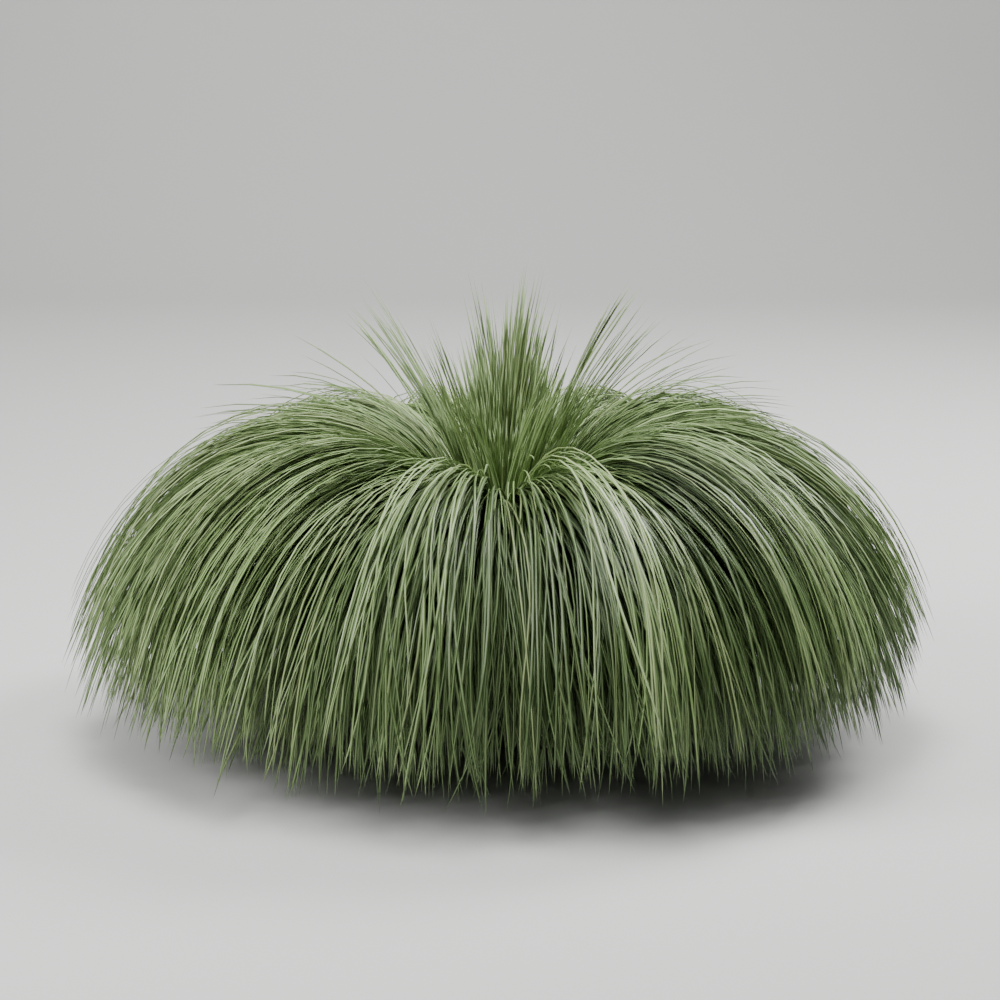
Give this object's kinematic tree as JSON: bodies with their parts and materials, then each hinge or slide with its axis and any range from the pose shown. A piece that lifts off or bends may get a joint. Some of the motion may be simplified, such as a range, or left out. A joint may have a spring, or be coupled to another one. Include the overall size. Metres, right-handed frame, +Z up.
{
  "type": "potted fountain grass",
  "caption": "Clump of fine-leaved fountain grass: blades arch out of a round crown and hang to the ground on every side, over a plain round nursery pot.",
  "frame": {"origin": "centre of the pot's flat base, on the surface that it stands on", "axes": "+Z up, -Y towards the front that the picture shows, +X to the right seen from the front"},
  "size_m": [1.2029, 1.1644, 0.6531],
  "materials": {
    "pot": "satin black moulded plastic",
    "soil": "moist crumbly potting mix",
    "outer_blades": "sage green blades with a soft satin sheen",
    "middle_blades": "mid green blades with a soft satin sheen",
    "inner_blades": "young green blades with a soft satin sheen"
  },
  "bodies": {
    "root": {"pot": "pot", "soil": "soil", "outer_tuft_01": "outer_blades", "outer_tuft_02": "outer_blades", "outer_tuft_03": "outer_blades", "outer_tuft_04": "outer_blades", "outer_tuft_05": "outer_blades", "outer_tuft_06": "outer_blades", "outer_tuft_07": "outer_blades", "outer_tuft_08": "outer_blades", "outer_tuft_09": "outer_blades", "outer_tuft_10": "outer_blades", "middle_tuft_01": "middle_blades", "middle_tuft_02": "middle_blades", "middle_tuft_03": "middle_blades", "middle_tuft_04": "middle_blades", "middle_tuft_05": "middle_blades", "inner_tuft_01": "inner_blades", "inner_tuft_02": "inner_blades", "inner_tuft_03": "inner_blades"}
  },
  "joints": []
}
